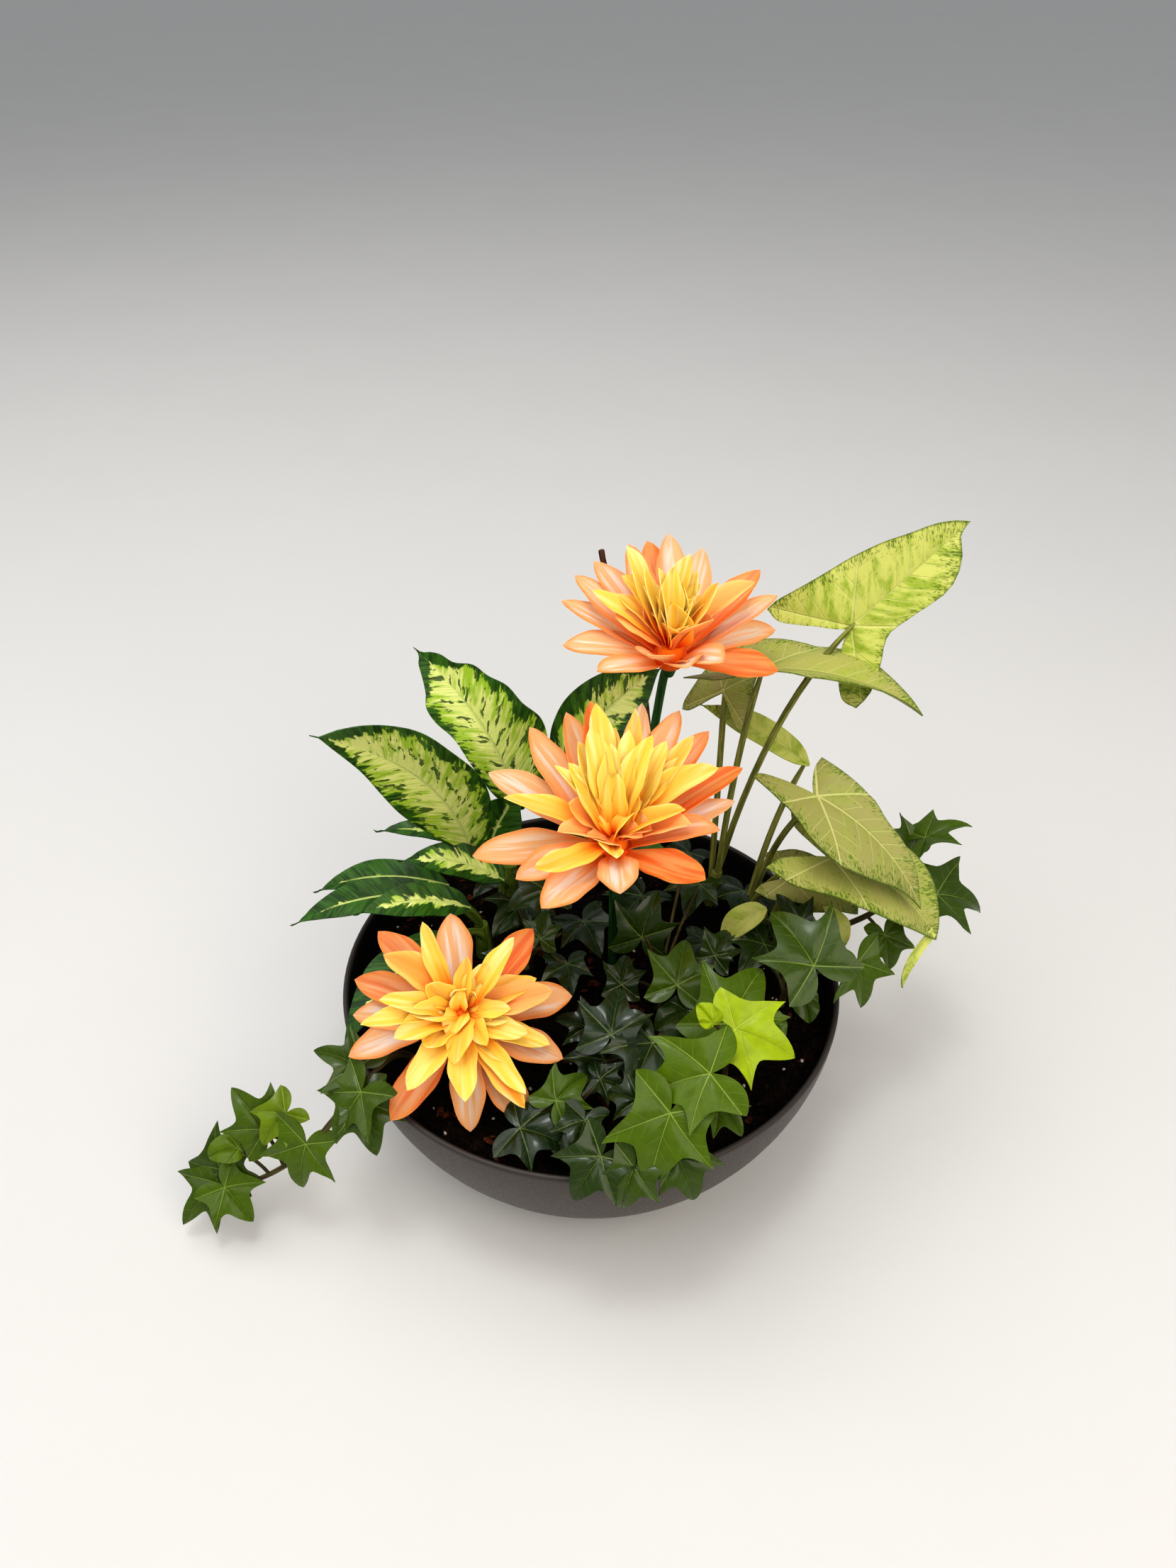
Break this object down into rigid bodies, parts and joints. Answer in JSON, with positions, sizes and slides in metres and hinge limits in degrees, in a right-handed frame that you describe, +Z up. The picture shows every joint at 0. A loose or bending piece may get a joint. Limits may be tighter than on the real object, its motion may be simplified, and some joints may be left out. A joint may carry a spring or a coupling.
{
  "type": "dish garden",
  "caption": "Low round bowl of soil planted with variegated leafy plants and ivy, with fabric blooms standing on wires.",
  "frame": {"origin": "centre of the flat underside of the bowl, on the surface that it stands on", "axes": "+Z up along the bowl's axis, -Y towards the front, where the ivy hangs over the rim, +X to the right as seen from the front"},
  "size_m": [0.4188, 0.2734, 0.3042],
  "materials": {
    "bowl": "satin dark taupe outside, nearly black inside",
    "soil": "loose dark potting soil with bark chips and white perlite",
    "bloomStem": "green wrapped wire",
    "outerPetals": "soft fabric petals, peach to orange",
    "innerPetals": "soft fabric petals, yellow with a red-orange heart",
    "dieffenbachia": "glossy leaf, dark green with a cream and green middle",
    "syngonium": "satin leaf, cream green mottled with darker green",
    "ivy": "satin leaf with pale veins, dark to lime green",
    "dried": "dry brown shoot"
  },
  "bodies": {
    "root": {"bowl": "bowl", "soil": "soil", "middleBloomStem": "bloomStem", "middleBloomOuterPetals": "outerPetals", "middleBloomInnerPetals": "innerPetals", "topBloomStem": "bloomStem", "topBloomOuterPetals": "outerPetals", "topBloomInnerPetals": "innerPetals", "frontBloomStem": "bloomStem", "frontBloomOuterPetals": "outerPetals", "frontBloomInnerPetals": "innerPetals", "dieffenbachiaTall": "dieffenbachia", "dieffenbachiaBack": "dieffenbachia", "dieffenbachiaLow": "dieffenbachia", "syngoniumTall": "syngonium", "syngoniumMiddle": "syngonium", "syngoniumLow": "syngonium", "ivyTrailing": "ivy", "ivyFrontLeft": "ivy", "ivyHanging": "ivy", "ivyDark": "ivy", "ivyLime": "ivy", "ivyMiddle": "ivy", "ivyInner": "ivy", "ivyRight": "ivy", "ivyFarRight": "ivy", "driedShoot": "dried"}
  },
  "joints": []
}
